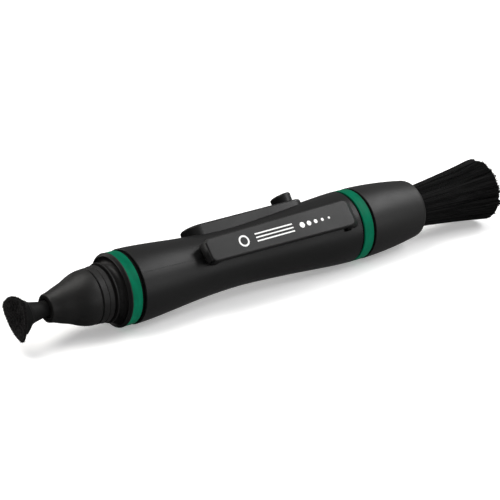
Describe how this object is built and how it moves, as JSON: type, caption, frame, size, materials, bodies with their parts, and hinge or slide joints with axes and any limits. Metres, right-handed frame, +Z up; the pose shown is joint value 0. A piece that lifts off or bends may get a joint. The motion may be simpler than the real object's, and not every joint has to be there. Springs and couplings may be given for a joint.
{
  "type": "lens cleaning pen",
  "caption": "Waisted pen-shaped lens cleaner with a flexible triangular cleaning pad at one end, a retractable soft brush at the other, a thumb slider and a pocket clip.",
  "frame": {"origin": "on the pen's axis, halfway along the cap spigot's cylindrical land", "axes": "+X along the axis towards the brush, +Z up with the slider above the axis on the far side and the clip above the axis on the near side, -Y towards the clip's side"},
  "size_m": [0.1225, 0.0167, 0.0168],
  "materials": {
    "black_abs": "satin",
    "grey_abs": "fine satin",
    "green_band": "satin",
    "seal_rubber": "matte",
    "neck_elastomer": "matte",
    "pad_foam": "matte",
    "chamois": "napped, matte",
    "carrier_plastic": "satin",
    "spring_steel": "satin",
    "ferrule_metal": "satin",
    "resin": "gloss",
    "brush_hair": "soft sheen"
  },
  "bodies": {
    "casing": {"barrel": "black_abs", "clip_foot": "black_abs", "front_ring": "green_band", "front_gasket": "seal_rubber", "cap_spigot": "grey_abs", "nose_cone": "grey_abs", "neck_plug": "neck_elastomer", "plug_retainer": "grey_abs", "rear_gasket_inner": "seal_rubber", "rear_ring": "green_band", "rear_gasket_outer": "seal_rubber", "rear_collar": "grey_abs"},
    "brush": {"slide_button": "black_abs", "brush_carrier": "carrier_plastic", "detent_spring": "spring_steel", "brush_ferrule": "ferrule_metal", "tuft_plug": "resin", "brush_tuft": "brush_hair"},
    "clip": {"pocket_clip": "black_abs"},
    "neck": {"flex_neck": "neck_elastomer"},
    "tip": {"pad_holder": "neck_elastomer", "foam_pad": "pad_foam", "chamois_face": "chamois"}
  },
  "joints": [
    {"name": "brush_slide", "type": "slide", "parent": "casing", "child": "brush", "axis": [1, 0, 0], "range_m": [-0.0238, 0], "deforming": ["brush_tuft", "detent_spring"]},
    {"name": "clip_flex", "type": "hinge", "parent": "casing", "child": "clip", "pos_m": [0.05825, -0.00711, 0.00629], "axis": [0, 0.6626, 0.749], "range_deg": [0, 5], "stiffness_Nm_per_rad": 1.1},
    {"name": "tip_pitch", "type": "hinge", "parent": "casing", "child": "neck", "pos_m": [-0.01095, 0, 0], "axis": [0, 1, 0], "range_deg": [-20, 20], "stiffness_Nm_per_rad": 0.02, "deforming": ["flex_neck"]},
    {"name": "tip_yaw", "type": "hinge", "parent": "neck", "child": "tip", "pos_m": [-0.01275, 0, 0], "axis": [0, 0, 1], "range_deg": [-20, 20], "stiffness_Nm_per_rad": 0.02}
  ]
}
